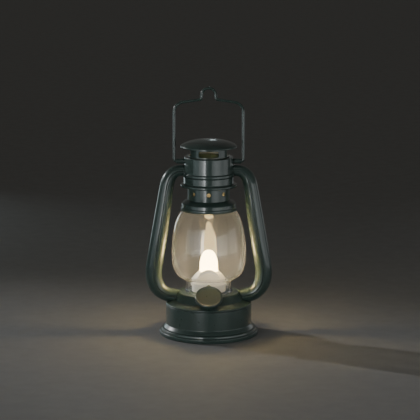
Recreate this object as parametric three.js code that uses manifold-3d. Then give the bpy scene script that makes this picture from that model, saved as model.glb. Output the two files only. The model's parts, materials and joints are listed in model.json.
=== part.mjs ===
// Battery hurricane lantern: turned base, glass globe, vented chimney, two air tubes and a wire bail.
// Millimetres. The origin is at the centre of the foot on the floor, +Z is up, the dimmer faces -Y.

import * as THREE from 'three';
import { mergeVertices } from 'three/addons/utils/BufferGeometryUtils.js';
import Module from 'manifold-3d';

const wasm = await Module();
wasm.setup();

// ---------------------------------------------------------------------------------------------
// Driving dimensions

const TURN_SEGMENTS = 32;
const SMALL_SEGMENTS = 16;
const GAP = 0.3;

const FOOT_RADIUS = 59.4;
const WALL_RADIUS = 51.6;
const WALL_BORE = 49.8;
const WALL_TOP = 36.2;

const PLATE_BOTTOM = 1.2;
const PLATE_TOP = 3.0;
const PLATE_RADIUS = 54;
const BOX_HALF_X = 34.5;
const BOX_HALF_Y = 32.75;
const BOX_WALL = 1.2;
const HINGE_Y = 36.6;
const HINGE_Z = 2.6;
const PIN_RADIUS = 0.8;
const PIN_CLEARANCE = 0.25;
const KNUCKLE_START = 9.6;
const KNUCKLE_END = 19.9;
const TRAY_SCREW_SPOTS = [[41.4, -13.2], [0, 42.8], [-41.4, -13.2]];
const SCREW_PILOT = 1.55;
const SCREW_HOLE = 1.7;
const SCREW_HEAD_HOLE = 3.3;

const CELL_RADIUS = 17.0;
const CELL_LENGTH = 61.5;
const CELL_X = 17.25;
const CELL_Z = 20.7;
const CELL_SHIFT = 1.1;

const DOME_TOP = 51.5;
const DOME_UNDER = 49.6;
const DOME_HOLE = 12;
const BOARD_POST_X = 16;
const BOARD_POST_Y = 8;

const DIMMER_TILT = THREE.MathUtils.degToRad(54);
const DIMMER_FACE = new THREE.Vector3(0, -44.6, 55.1);
const KNOB_RADIUS = 16.4;
const KNOB_DEPTH = 4.6;
const POINTER_REACH = 18.4;
const BOSS_RADIUS = 12.4;
const BOSS_BORE = 9;
const BUSHING_HOLE = 4.4;
const SHAFT_RADIUS = 2.6;

const BURNER_RADIUS = 21.2;
const BURNER_BOTTOM = 60.3;
const BURNER_TOP = 65.3;
const THROAT_RADIUS = 11.2;
const LIP_NEAR = 11.4;
const LIP_FAR = 12.9;
const LIP_HALF_WIDTH = 13.8;
const LIP_FOOT = 66;
const LIP_TOP = 80.2;
const BULB_FOOT = 70;
const BULB_TOP = 101.9;

const GLASS = 1.8;

const TUBE_WALL = 1.6;
const TUBE_SPLIT = 0.15;
const TUBE_STEPS = 19;

const NECK_HOLES = 8;
const NECK_HOLE_RADIUS = 2.5;
const NECK_HOLE_Z = 173;
const VENT_SLOTS = 4;
const VENT_SLOT_HALF_ANGLE = THREE.MathUtils.degToRad(29.5);
const VENT_SLOT_BOTTOM = 217.5;
const VENT_SLOT_HEIGHT = 7.6;

const EAR_Z = 210.4;
const EAR_RADIUS = 3.1;
const EAR_BORE = 2.1;
const BAIL_RADIUS = 1.75;
const BAIL_HALF = 41.2;
const BAIL_SHOULDER = 279.8;
const BAIL_TOP = 297.9;

// ---------------------------------------------------------------------------------------------
// Materials

function material(color, roughness, metalness) {
  return new THREE.MeshStandardMaterial({ color, roughness, metalness });
}

const GREEN = material(0x263e36, 0.3, 0.1);
const GREEN_WIRE = material(0x2c4a44, 0.35, 0.4);
const WHITE = material(0xe6e2d6, 0.5, 0.0);
const FROSTED = material(0xfffbea, 0.6, 0.0);
const CLEAR = material(0xdfe6e2, 0.05, 0.0);
const BLACK = material(0x1c1f1e, 0.5, 0.0);
const STEEL = material(0xb8bcbe, 0.3, 1.0);
const BRASS = material(0xb08d4a, 0.35, 1.0);
const BOARD = material(0x1f5a34, 0.5, 0.0);
const JACKET = material(0x5b6470, 0.4, 0.2);
const RED = material(0x9c2420, 0.5, 0.0);
const EMITTER = material(0xf2d56a, 0.4, 0.0);

// ---------------------------------------------------------------------------------------------
// Geometry helpers

// Signed volume inside a closed mesh: positive when its triangles are wound outward.
function signedVolume(points, faces) {
  let total = 0;
  const corner = [new THREE.Vector3(), new THREE.Vector3(), new THREE.Vector3()];
  for (let i = 0; i < faces.length; i += 3) {
    corner.forEach((c, k) => c.fromArray(points, faces[i + k] * 3));
    total += corner[0].dot(corner[1].clone().cross(corner[2]));
  }
  return total / 6;
}

// Closed three.js geometry to a boolean solid.
function solid(geometry) {
  const bare = geometry.clone();
  bare.deleteAttribute('normal');
  bare.deleteAttribute('uv');
  const merged = mergeVertices(bare, 1e-4);
  const points = new Float32Array(merged.attributes.position.array);
  const faces = [];
  const index = merged.index.array;
  for (let i = 0; i < index.length; i += 3) {
    const [a, b, c] = [index[i], index[i + 1], index[i + 2]];
    if (a !== b && b !== c && c !== a) {
      faces.push(a, b, c);
    }
  }
  if (signedVolume(points, faces) < 0) {
    for (let i = 0; i < faces.length; i += 3) {
      [faces[i + 1], faces[i + 2]] = [faces[i + 2], faces[i + 1]];
    }
  }
  const mesh = new wasm.Mesh({ numProp: 3, vertProperties: points, triVerts: new Uint32Array(faces) });
  return new wasm.Manifold(mesh);
}

// Boolean solid back to an indexed three.js geometry.
function geometryOf(manifold) {
  const mesh = manifold.getMesh();
  const geometry = new THREE.BufferGeometry();
  const points = new Float32Array(mesh.numVert * 3);
  for (let i = 0; i < mesh.numVert; i += 1) {
    for (let k = 0; k < 3; k += 1) {
      points[i * 3 + k] = mesh.vertProperties[i * mesh.numProp + k];
    }
  }
  geometry.setAttribute('position', new THREE.BufferAttribute(points, 3));
  geometry.setIndex(new THREE.BufferAttribute(new Uint32Array(mesh.triVerts), 1));
  return geometry;
}

// A profile of [radius, height] pairs turned about +Z. A profile that stays off the axis is closed on
// itself; one that starts and ends on the axis is left open.
function turned(profile, segments = TURN_SEGMENTS) {
  const points = profile.map(([r, z]) => new THREE.Vector2(r, z));
  const onAxis = profile[0][0] === 0 && profile[profile.length - 1][0] === 0;
  if (!onAxis) {
    points.push(points[0].clone());
  }
  return solid(new THREE.LatheGeometry(points, segments).rotateX(Math.PI / 2));
}

// A box given by its lowest and highest corners.
function box(low, high) {
  const size = high.map((h, i) => h - low[i]);
  const middle = high.map((h, i) => (h + low[i]) / 2);
  return solid(new THREE.BoxGeometry(...size).translate(...middle));
}

// A rod between two points.
function rod(from, to, radius, segments = SMALL_SEGMENTS) {
  const a = new THREE.Vector3(...from);
  const b = new THREE.Vector3(...to);
  const geometry = new THREE.CylinderGeometry(radius, radius, a.distanceTo(b), segments);
  const along = b.clone().sub(a).normalize();
  geometry.applyQuaternion(new THREE.Quaternion().setFromUnitVectors(new THREE.Vector3(0, 1, 0), along));
  const middle = a.add(b).multiplyScalar(0.5);
  return solid(geometry.translate(middle.x, middle.y, middle.z));
}

// A flat outline of [x, y] pairs raised along +Z.
function plate(outline, depth) {
  const shape = new THREE.Shape(outline.map(([x, y]) => new THREE.Vector2(x, y)));
  return new THREE.ExtrudeGeometry(shape, { depth, bevelEnabled: false, steps: 1 });
}

// Round wire along a curve.
function wire(curve, radius, steps, sides = 6) {
  const shape = new THREE.Shape();
  for (let i = 0; i < sides; i += 1) {
    const angle = (i / sides) * Math.PI * 2;
    const [x, y] = [radius * Math.cos(angle), radius * Math.sin(angle)];
    if (i === 0) {
      shape.moveTo(x, y);
    } else {
      shape.lineTo(x, y);
    }
  }
  shape.closePath();
  return solid(new THREE.ExtrudeGeometry(shape, { steps, bevelEnabled: false, extrudePath: curve }));
}

function smooth(points) {
  return new THREE.CatmullRomCurve3(points.map((p) => new THREE.Vector3(...p)), false, 'centripetal');
}

// Moves a piece built about +Z onto the dimmer axis; depth is counted inward from the knob's face.
function onDimmerAxis(piece, depth) {
  const turn = 90 - THREE.MathUtils.radToDeg(DIMMER_TILT);
  const inward = new THREE.Vector3(0, Math.cos(DIMMER_TILT), -Math.sin(DIMMER_TILT));
  const at = DIMMER_FACE.clone().addScaledVector(inward, depth);
  return piece.rotate([turn, 0, 0]).translate([at.x, at.y, at.z]);
}

const group = new THREE.Group();
group.name = 'hurricane_lantern';

function add(name, manifold, look) {
  const mesh = new THREE.Mesh(geometryOf(manifold), look);
  mesh.name = name;
  group.add(mesh);
}

// ---------------------------------------------------------------------------------------------
// Base housing: stepped foot ring and straight wall, open above and below

add('base_housing', turned([
  [55, 0], [58.6, 0], [FOOT_RADIUS, 0.9], [FOOT_RADIUS, 3.8], [58.3, 5.3], [57, 5.8], [56.6, 7.4],
  [54.4, 8.8], [52.4, 11.4], [WALL_RADIUS, 14], [WALL_RADIUS, WALL_TOP], [WALL_BORE, WALL_TOP],
  [WALL_BORE, 3.3], [55, 3.3],
]), GREEN);

// ---------------------------------------------------------------------------------------------
// Battery tray: round plate under the wall with a moulded box over the two cells

function batteryBoxOutline(grow) {
  const half = BOX_HALF_X + grow;
  const side = [[half, 26], [half - 2, 31.5], [half - 7.5, 36 + grow * 0.5], [20, 38 + grow]];
  const left = side.map(([x, z]) => [-x, z]).reverse();
  return [[-half, PLATE_TOP - 0.5], [half, PLATE_TOP - 0.5], ...side, ...left];
}

function batteryBoxSolid(grow) {
  const halfY = BOX_HALF_Y + grow;
  const raised = plate(batteryBoxOutline(grow), halfY * 2);
  return solid(raised.rotateX(Math.PI / 2).translate(0, halfY, 0));
}

function hingeBore() {
  return rod([-26, HINGE_Y, HINGE_Z], [26, HINGE_Y, HINGE_Z], PIN_RADIUS + PIN_CLEARANCE, 12);
}

function batteryTray() {
  let tray = turned([
    [0, PLATE_BOTTOM], [PLATE_RADIUS, PLATE_BOTTOM], [PLATE_RADIUS, PLATE_TOP], [0, PLATE_TOP],
  ]);
  const shell = batteryBoxSolid(BOX_WALL).intersect(turned([[0, 0], [49.2, 0], [49.2, 45], [0, 45]]));
  tray = tray.add(shell);
  for (const [x, y] of TRAY_SCREW_SPOTS) {
    tray = tray.add(rod([x, y, PLATE_BOTTOM + 0.2], [x, y, 6], 5));
  }
  for (const side of [-1, 1]) {
    const [a, b] = [side * 6, side * 9].sort((p, q) => p - q);
    const [c, d] = [side * 20.5, side * 24].sort((p, q) => p - q);
    tray = tray.add(box([a, 33.5, PLATE_TOP - 0.4], [b, HINGE_Y + 1.7, 4.4]));
    tray = tray.add(box([c, 33.5, PLATE_TOP - 0.4], [d, HINGE_Y + 1.7, 4.4]));
  }
  tray = tray.subtract(batteryBoxSolid(0));
  tray = tray.subtract(box([-BOX_HALF_X, -BOX_HALF_Y, 0], [BOX_HALF_X, BOX_HALF_Y, PLATE_TOP]));
  for (const [x, y] of TRAY_SCREW_SPOTS) {
    tray = tray.subtract(rod([x, y, 0], [x, y, 3.4], SCREW_HEAD_HOLE));
    tray = tray.subtract(rod([x, y, 0], [x, y, 8], SCREW_HOLE));
  }
  for (const side of [-1, 1]) {
    const [a, b] = [side * (KNUCKLE_START - 0.4), side * (KNUCKLE_END + 0.4)].sort((p, q) => p - q);
    tray = tray.subtract(box([a, BOX_HALF_Y - 0.5, 0], [b, 39.2, PLATE_TOP]));
    tray = tray.subtract(box([a, 34.2, 0], [b, 39.2, 5]));
  }
  tray = tray.subtract(box([-7, -37, 0], [7, -BOX_HALF_Y + 0.5, PLATE_TOP]));
  tray = tray.subtract(hingeBore());
  // Two small exits for the supply leads through the front end wall
  for (const x of [-12, 12]) {
    tray = tray.subtract(box([x - 1.5, -35, 28.5], [x + 1.5, -32, 31.5]));
  }
  return tray;
}

add('battery_tray', batteryTray(), BLACK);

function batteryDoor() {
  const edge = 0.4;
  let door = box([-BOX_HALF_X + edge, -BOX_HALF_Y + edge, PLATE_BOTTOM],
    [BOX_HALF_X - edge, BOX_HALF_Y - edge, PLATE_TOP]);
  door = door.add(box([-6, -36, PLATE_BOTTOM], [6, -32, 2.2]));
  for (const side of [-1, 1]) {
    const [a, b] = [side * KNUCKLE_START, side * KNUCKLE_END].sort((p, q) => p - q);
    door = door.add(box([a, 32, PLATE_BOTTOM], [b, HINGE_Y, 2.8]));
    door = door.add(rod([a, HINGE_Y, HINGE_Z], [b, HINGE_Y, HINGE_Z], 1.6, 12));
  }
  return door.subtract(hingeBore());
}

add('battery_door', batteryDoor(), BLACK);
add('door_pin', rod([-23.6, HINGE_Y, HINGE_Z], [23.6, HINGE_Y, HINGE_Z], PIN_RADIUS, 8), STEEL);

TRAY_SCREW_SPOTS.forEach(([x, y], i) => {
  const screw = turned([[0, 1.5], [2.9, 1.5], [2.9, 3.2], [1.3, 3.2], [1.3, 14], [0, 15]], 10);
  add(`tray_screw_${i + 1}`, screw.translate([x, y, 0]), STEEL);
});

// ---------------------------------------------------------------------------------------------
// Two D cells side by side, opposite ways round, with their contacts

function cell(x, direction) {
  const half = CELL_LENGTH / 2;
  const profile = [
    [0, -half + 0.5], [CELL_RADIUS - 1.5, -half + 0.5], [CELL_RADIUS - 1.2, -half],
    [CELL_RADIUS, -half + 0.6], [CELL_RADIUS, half - 2.6], [CELL_RADIUS - 1, half - 2],
    [4.75, half - 2], [4.5, half], [0, half],
  ];
  const lying = turned(profile, 20).rotate([direction > 0 ? -90 : 90, 0, 0]);
  return lying.translate([x, direction * CELL_SHIFT, CELL_Z]);
}

add('cell_left', cell(-CELL_X, -1), JACKET);
add('cell_right', cell(CELL_X, 1), JACKET);

const contactFace = BOX_HALF_Y - 0.15;
const nubReach = CELL_LENGTH / 2 + CELL_SHIFT + 0.1;

function contactPlate(low, high, end, nubX) {
  const [y0, y1] = [end * contactFace, end * (contactFace - 0.5)].sort((p, q) => p - q);
  let piece = box([low, y0, 13], [high, y1, 28]);
  if (nubX !== null) {
    const root = [nubX, end * (contactFace - 0.3), CELL_Z];
    piece = piece.add(rod(root, [nubX, end * nubReach, CELL_Z], 3.4, 10));
  }
  return piece;
}

add('contact_bridge', contactPlate(-24, 24, 1, CELL_X), STEEL);
add('contact_plus', contactPlate(-24, -10, -1, -CELL_X), STEEL);
add('contact_minus', contactPlate(10, 24, -1, null), STEEL);

// Conical spring pressed between a contact plate and the flat end of a cell.
function contactSpring(x, end) {
  const points = [];
  const rounds = 2;
  const steps = 18;
  const start = contactFace - 0.5 - 0.4;
  const finish = CELL_LENGTH / 2 - CELL_SHIFT + 0.5;
  for (let i = 0; i <= steps; i += 1) {
    const t = i / steps;
    const angle = t * rounds * Math.PI * 2;
    const radius = 6.5 - 3.5 * t;
    const y = end * (start + (finish - start) * t);
    points.push([x + radius * Math.cos(angle), y, CELL_Z + radius * Math.sin(angle)]);
  }
  return wire(smooth(points), 0.35, 22, 5);
}

add('spring_rear', contactSpring(-CELL_X, 1), STEEL);
add('spring_front', contactSpring(CELL_X, -1), STEEL);

// ---------------------------------------------------------------------------------------------
// Shoulder cover: shoulder, air-chamber dome, dimmer boss, screw posts and an air hole under each tube

const domeOutside = [
  [WALL_RADIUS, 36.6], [WALL_RADIUS, 37.6], [50.2, 38.9], [45.5, 40.6], [42, 41.8], [40.7, 43],
  [38.3, 48.6], [37.2, 50.4], [35, DOME_TOP - 0.1], [DOME_HOLE, DOME_TOP],
];
const domeInside = [
  [DOME_HOLE, DOME_UNDER], [34, DOME_UNDER - 0.1], [35.4, 48.8], [38.4, 41.8], [40.4, 40.1],
  [44.6, 38.9], [47.6, 37.6], [47.6, 34], [49.3, 34], [49.3, 36.6],
];

function shoulderCover() {
  const cavity = turned([[0, 20], [47.6, 20], ...[...domeInside].reverse().slice(3), [0, DOME_UNDER]]);
  let cover = turned([...domeOutside, ...domeInside]);
  const bossFace = KNOB_DEPTH + 0.4;
  const boss = onDimmerAxis(rod([0, 0, -12], [0, 0, 0], BOSS_RADIUS, 24), bossFace);
  const globeClearance = turned([[0, DOME_TOP], [29.2, DOME_TOP], [29.2, 70], [0, 70]]);
  cover = cover.add(boss.subtract(cavity).subtract(globeClearance));
  cover = cover.subtract(onDimmerAxis(rod([0, 0, -24], [0, 0, -7.6], BOSS_BORE, 20), 0));
  cover = cover.subtract(onDimmerAxis(rod([0, 0, -24], [0, 0, 0], BUSHING_HOLE, 12), 0));
  for (const [x, y] of TRAY_SCREW_SPOTS) {
    const post = rod([x, y, 6.3], [x, y, 40.4], 3.2, 12);
    cover = cover.add(post);
    cover = cover.subtract(rod([x, y, 0], [x, y, 18], SCREW_PILOT, 10));
  }
  for (const x of [-BOARD_POST_X, BOARD_POST_X]) {
    const y = BOARD_POST_Y;
    cover = cover.add(rod([x, y, 45.6], [x, y, DOME_UNDER + 0.5], 2.6, 10));
    cover = cover.subtract(rod([x, y, 40], [x, y, 49], 1.2, 8));
  }
  for (const side of [-1, 1]) {
    cover = cover.subtract(rod([side * 30, 0, 45.4], [side * 44, 0, 45.4], 2.8, 12));
  }
  return cover;
}

// ---------------------------------------------------------------------------------------------
// Side air tubes: each is two half shells parted along the middle of its front and back

// Stations down the tube: [x, z, outer radius]
const tubeStations = [
  [27.6, 198.7, 6.85], [34, 198.6, 6.95], [40, 197.2, 7.4], [45.5, 192.2, 8], [48.6, 185, 8.5],
  [50.6, 175.3, 8.7], [53.3, 157, 9.3], [56.1, 138.7, 9.8], [60.1, 114.2, 10.1], [64.2, 89.7, 10.1],
  [65.9, 77.3, 10.0], [65.2, 66, 10.0], [61.2, 56.4, 9.6], [54, 49.8, 9.0], [46, 47, 8.5],
  [36, 45.6, 8.1],
];

const tubeCurve = new THREE.CatmullRomCurve3(
  tubeStations.map(([x, z, radius]) => new THREE.Vector3(x, radius, z)),
  false,
  'centripetal',
);

// A straight extrusion whose rings are moved onto stations in the XZ plane. Each station gives its
// place, its sideways direction and the radius used by the section's outer points.
function swept(outline, stations, wall = 0) {
  const shape = new THREE.Shape(outline.map(([u, v]) => new THREE.Vector2(u, v)));
  const steps = stations.length - 1;
  const geometry = new THREE.ExtrudeGeometry(shape, { depth: 1, steps, bevelEnabled: false });
  const position = geometry.attributes.position;
  for (let i = 0; i < position.count; i += 1) {
    const [u, v] = [position.getX(i), position.getY(i)];
    const { x, z, outward, radius, shift } = stations[Math.round(position.getZ(i) * steps)];
    const scale = (Math.hypot(u, v) > 0.75 ? radius : radius - wall) / Math.hypot(u, v);
    const reach = u * scale + shift;
    position.setXYZ(i, x + outward.x * reach, v * scale, z + outward.y * reach);
  }
  return solid(geometry);
}

// One half shell of a tube; the two halves meet along the middle of the tube's front and back.
function tubeHalf(side, outer) {
  const arc = 5;
  const outline = [];
  for (let i = 0; i <= arc; i += 1) {
    const angle = (i / arc) * Math.PI;
    outline.push([Math.sin(angle), Math.cos(angle)]);
    outline.unshift([0.5 * Math.sin(angle), 0.5 * Math.cos(angle)]);
  }
  const facing = outer ? 1 : -1;
  const stations = [];
  for (let i = 0; i <= TUBE_STEPS; i += 1) {
    const at = tubeCurve.getPointAt(i / TUBE_STEPS);
    const along = tubeCurve.getTangentAt(i / TUBE_STEPS);
    const outward = new THREE.Vector2(-along.z, along.x).normalize().multiplyScalar(facing);
    outward.x *= side;
    stations.push({ x: side * at.x, z: at.z, outward, radius: at.y, shift: TUBE_SPLIT });
  }
  return swept(outline, stations, TUBE_WALL);
}

// Round opening for the straight upper end of a tube.
function tubeSocket(side) {
  const [x, z, radius] = tubeStations[0];
  return rod([side * (x - 8), 0, z], [side * (x + 8), 0, z], radius + GAP + TUBE_SPLIT, 20);
}

// The cover's outside grown by the working gap: the lower tube ends are coped to it.
const grownDome = domeOutside.map(([r, z]) => [r + GAP, z + GAP]);
const copingBlock = turned([[0, 20], ...grownDome, [0, DOME_TOP + GAP]]);

add('shoulder_cover', shoulderCover(), GREEN);

for (const [name, side] of [['left', -1], ['right', 1]]) {
  add(`tube_${name}_outer`, tubeHalf(side, true).subtract(copingBlock), GREEN);
  add(`tube_${name}_inner`, tubeHalf(side, false).subtract(copingBlock), GREEN);
}

// ---------------------------------------------------------------------------------------------
// Dimmer: knob with a pointer, shaft, potentiometer and nut on one tilted axis

function dimmerKnob() {
  let knob = turned([
    [0, -KNOB_DEPTH], [15.6, -KNOB_DEPTH], [KNOB_RADIUS, -KNOB_DEPTH + 0.8], [KNOB_RADIUS, -1],
    [15.6, 0], [14.6, 0], [14, -0.6], [0, -0.6],
  ], 28);
  const pointer = plate([[-3.2, 15], [3.2, 15], [0.5, POINTER_REACH], [-0.5, POINTER_REACH]], 1.5);
  knob = knob.add(solid(pointer.translate(0, 0, -1.8)));
  knob = knob.subtract(rod([0, 0, -KNOB_DEPTH - 1], [0, 0, -2.9], 8, 16));
  knob = knob.subtract(rod([0, 0, -3.5], [0, 0, -1.6], SHAFT_RADIUS + PIN_CLEARANCE, 10));
  return onDimmerAxis(knob, 0);
}

add('dimmer_knob', dimmerKnob(), GREEN);
add('dimmer_shaft', onDimmerAxis(rod([0, 0, -11], [0, 0, -1.8], SHAFT_RADIUS, 10), 0), STEEL);

function dimmerPot() {
  let pot = turned([[0, -15], [8, -15], [8, -8], [3.9, -8], [3.9, -3.4], [0, -3.4]], 16);
  pot = pot.subtract(rod([0, 0, -11.4], [0, 0, -3], SHAFT_RADIUS + GAP, 10));
  return onDimmerAxis(pot, 0);
}

add('dimmer_pot', dimmerPot(), STEEL);

function dimmerNut() {
  const hexagon = rod([0, 0, -4.8], [0, 0, -3.2], 6.2, 6);
  return onDimmerAxis(hexagon.subtract(rod([0, 0, -6], [0, 0, -3], 4.15, 16)), 0);
}

add('dimmer_nut', dimmerNut(), BRASS);

// ---------------------------------------------------------------------------------------------
// Circuit board under the dome, its screws, and the leads

function circuitBoard() {
  let board = box([-20, -14, 43.8], [20, 20, 45.3]);
  for (const x of [-BOARD_POST_X, BOARD_POST_X]) {
    board = board.subtract(rod([x, BOARD_POST_Y, 43], [x, BOARD_POST_Y, 46], 1.5, 8));
  }
  return board;
}

add('circuit_board', circuitBoard(), BOARD);
[-BOARD_POST_X, BOARD_POST_X].forEach((x, i) => {
  const screw = turned([[0, 42.2], [2.4, 42.2], [2.4, 43.6], [1, 43.6], [1, 48.4], [0, 48.6]], 8);
  add(`board_screw_${i + 1}`, screw.translate([x, BOARD_POST_Y, 0]), STEEL);
});
add('driver_chip', box([-5, -10, 45.5], [5, -3, 47.2]), BLACK);

for (const [name, x, look] of [['plus', -12, RED], ['minus', 12, BLACK]]) {
  const path = smooth([
    [x, -32.5, 30], [x, -35.6, 30.6], [x, -36.4, 35], [x, -34.9, 40], [x, -29, 41.3],
    [x, -16, 42], [x, -9, 42.9],
  ]);
  add(`supply_lead_${name}`, wire(path, 0.7, 14, 6), look);
}
for (const [name, x, look] of [['plus', -1.6, RED], ['minus', 1.6, BLACK]]) {
  const path = smooth([[x * 2.2, 11, 46], [x * 1.6, 7, 46.4], [x, 4.4, 50], [x, 1, 57], [x, 0, 72]]);
  add(`lamp_lead_${name}`, wire(path, 0.55, 14, 5), look);
}

// ---------------------------------------------------------------------------------------------
// Burner: white holder, domed cone with two raised lips, lamp board, emitter and frosted flame bulb

const burnerBase = turned([
  [DOME_HOLE - 3, 47.2], [DOME_HOLE - 0.4, 47.2], [DOME_HOLE - 0.4, 51.8], [20.4, 51.8], [20.4, 60],
  [18.8, 60], [18.8, 53.3], [DOME_HOLE - 3, 53.3],
], 24);
add('burner_base', burnerBase, WHITE);

const burnerPlate = turned([
  [5, 62.4], [17.6, 62.4], [17.6, BURNER_BOTTOM - 3], [18.5, BURNER_BOTTOM - 3], [18.5, BURNER_BOTTOM],
  [BURNER_RADIUS, BURNER_BOTTOM], [BURNER_RADIUS, BURNER_TOP - 0.6], [BURNER_RADIUS - 0.6, BURNER_TOP],
  [20.3, BURNER_TOP], [20.3, 64.2], [5, 64.2],
], 24);
add('burner_plate', burnerPlate, WHITE);

// Half-round lip standing across the front or back of the throat.
function coneLip(side) {
  const outline = [];
  const steps = 12;
  for (let i = 0; i <= steps; i += 1) {
    const angle = (i / steps) * Math.PI;
    outline.push([LIP_HALF_WIDTH * Math.cos(angle), (LIP_TOP - LIP_FOOT) * Math.sin(angle)]);
  }
  const raised = plate(outline, LIP_FAR - LIP_NEAR).rotateX(Math.PI / 2);
  return solid(raised.translate(0, side > 0 ? LIP_FAR : -LIP_NEAR, LIP_FOOT));
}

function burnerCone() {
  const outside = [
    [20, 64.6], [20, 65.6], [19.2, 67.8], [17.4, 70.8], [14.8, 73.8], [11, 77], [6, 78.8], [0, 79.2],
  ];
  const inside = outside.map(([r, z]) => [Math.max(r - 1.4, 0), z - 1]).reverse();
  inside[inside.length - 1] = [18.6, 64.6];
  const hollow = turned([...inside, [18.6, 60], [0, 60]], 24);
  const lips = coneLip(-1).add(coneLip(1)).subtract(hollow);
  const cone = turned([...outside, ...inside], 24).add(lips);
  return cone.subtract(rod([0, 0, 60], [0, 0, 90], THROAT_RADIUS, 24));
}

add('burner_cone', burnerCone(), WHITE);

const lampPost = turned([[3.2, 64.5], [8.6, 64.5], [8.6, 66], [6, 66.6], [6, 71.4], [3.2, 71.4]], 16);
add('lamp_post', lampPost, WHITE);
add('lamp_board', turned([[3, 71.7], [7.6, 71.7], [7.6, 72.9], [3, 72.9]], 16), BOARD);
add('lamp_emitter', box([-2.5, -2.5, 73.2], [2.5, 2.5, 75]), EMITTER);

const flameOutside = [
  [10.4, BULB_FOOT], [10.9, 76], [10.9, 82], [10.5, 88.4], [9.5, 92.8], [7.8, 97], [6, 99.8],
  [3.6, 101.4], [0, BULB_TOP],
];
const flameInside = [
  [0, BULB_TOP - 1.2], [5, 99], [6.7, 96.4], [8.3, 92.4], [9.6, 82], [9.2, BULB_FOOT],
];
add('flame_bulb', turned([...flameOutside, ...flameInside], 20), FROSTED);

// ---------------------------------------------------------------------------------------------
// Globe: clear glass with a straight collar and a rolled foot

const globeOutside = [
  [28.6, 51.8], [28.6, 53.4], [27.4, 54.4], [27.2, 64.2], [29.4, 66.6], [34.6, 69.6], [38.6, 73],
  [41.4, 77.4], [43.9, 86], [44.8, 99], [44, 114], [42.5, 126.5], [39.6, 138.7], [34.6, 148],
  [31.9, 151.2], [31.5, 154.2],
];

// Inner wall: the outer profile moved inward along its own normal.
function inset(profile, distance) {
  return profile.map(([r, z], i) => {
    const before = profile[Math.max(i - 1, 0)];
    const after = profile[Math.min(i + 1, profile.length - 1)];
    const [dr, dz] = [after[0] - before[0], after[1] - before[1]];
    const length = Math.hypot(dr, dz);
    return [r - (dz / length) * distance, z + (dr / length) * distance];
  });
}

const globeInside = inset(globeOutside, GLASS).filter((point, i) => i === 3 || (i > 3 && i % 2 === 1));
globeInside[globeInside.length - 1] = [29.7, 154.2];
add('globe', turned([...globeOutside, ...globeInside.reverse(), [25.4, 51.8]]), CLEAR);

// ---------------------------------------------------------------------------------------------
// Crown, perforated neck, chimney, vent ring and cap

add('globe_crown', turned([
  [32.4, 151.4], [33.2, 151.2], [33.6, 151.8], [33.6, 154.6], [32.7, 155.6], [32.7, 159], [31.6, 160.4],
  [28.6, 163], [25.8, 164.4], [25.8, 163], [30.4, 159.4], [31.2, 158.4], [32.3, 154.6],
]), GREEN);

function neck() {
  let ring = turned([[24, 160.6], [25.5, 160.6], [25.5, 181], [24, 181]]);
  for (let i = 0; i < NECK_HOLES / 2; i += 1) {
    const angle = (i / NECK_HOLES) * Math.PI * 2;
    const [x, y] = [30 * Math.sin(angle), 30 * Math.cos(angle)];
    ring = ring.subtract(rod([-x, -y, NECK_HOLE_Z], [x, y, NECK_HOLE_Z], NECK_HOLE_RADIUS, 10));
  }
  return ring;
}

add('neck_ring', neck(), GREEN);

let lower = turned([
  [25.8, 180], [33, 180], [33.8, 180.7], [33.8, 182.5], [33, 183.3], [30.2, 183.9], [30.2, 192.1],
  [28.9, 192.4], [28.9, 194.8], [27.4, 194.8], [27.4, 183], [25.8, 181.6],
]);
let upper = turned([
  [30.2, 192.5], [31.1, 193], [31.1, 195.6], [29.4, 196.6], [29.4, 215.4], [28.8, 216], [23, 216],
  [23, 214.6], [27.2, 214.5], [27.9, 213.6], [27.9, 195.4], [29.2, 195.2],
]);
for (const side of [-1, 1]) {
  const socket = tubeSocket(side);
  lower = lower.subtract(socket);
  upper = upper.subtract(socket);
  upper = upper.subtract(rod([side * 22, 0, EAR_Z], [side * 34, 0, EAR_Z], EAR_RADIUS + GAP, 14));
}
add('chimney_lower', lower, GREEN);
add('chimney_upper', upper, GREEN);

function ventRing() {
  const reach = 40;
  const [x, y] = [reach * Math.sin(VENT_SLOT_HALF_ANGLE), -reach * Math.cos(VENT_SLOT_HALF_ANGLE)];
  const wedge = plate([[0, 0], [-x, y], [x, y]], VENT_SLOT_HEIGHT).translate(0, 0, VENT_SLOT_BOTTOM);
  let ring = turned([[23, 216.3], [24.6, 216.3], [24.6, 229.3], [23, 229.3]]);
  for (let i = 0; i < VENT_SLOTS; i += 1) {
    ring = ring.subtract(solid(wedge).rotate([0, 0, (i / VENT_SLOTS) * 360]));
  }
  return ring;
}

add('vent_ring', ventRing(), GREEN);

add('cap', turned([
  [0, 237], [10, 236.7], [19, 235.3], [26.5, 233.2], [31.2, 231.1], [33.8, 229.2], [34, 228], [33, 227.1],
  [31.6, 228], [26, 229.6], [22.5, 229.6], [22.5, 226.6], [21, 226.6], [21, 232], [12, 234.4], [0, 235.3],
]), GREEN);

// ---------------------------------------------------------------------------------------------
// Ears and wire bail

for (const [name, side] of [['left', -1], ['right', 1]]) {
  const sleeve = rod([side * 25.6, 0, EAR_Z], [side * 38.6, 0, EAR_Z], EAR_RADIUS, 14);
  const bored = sleeve.subtract(rod([side * 24, 0, EAR_Z], [side * 42, 0, EAR_Z], EAR_BORE, 12));
  add(`ear_${name}`, bored, GREEN);
}

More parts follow.
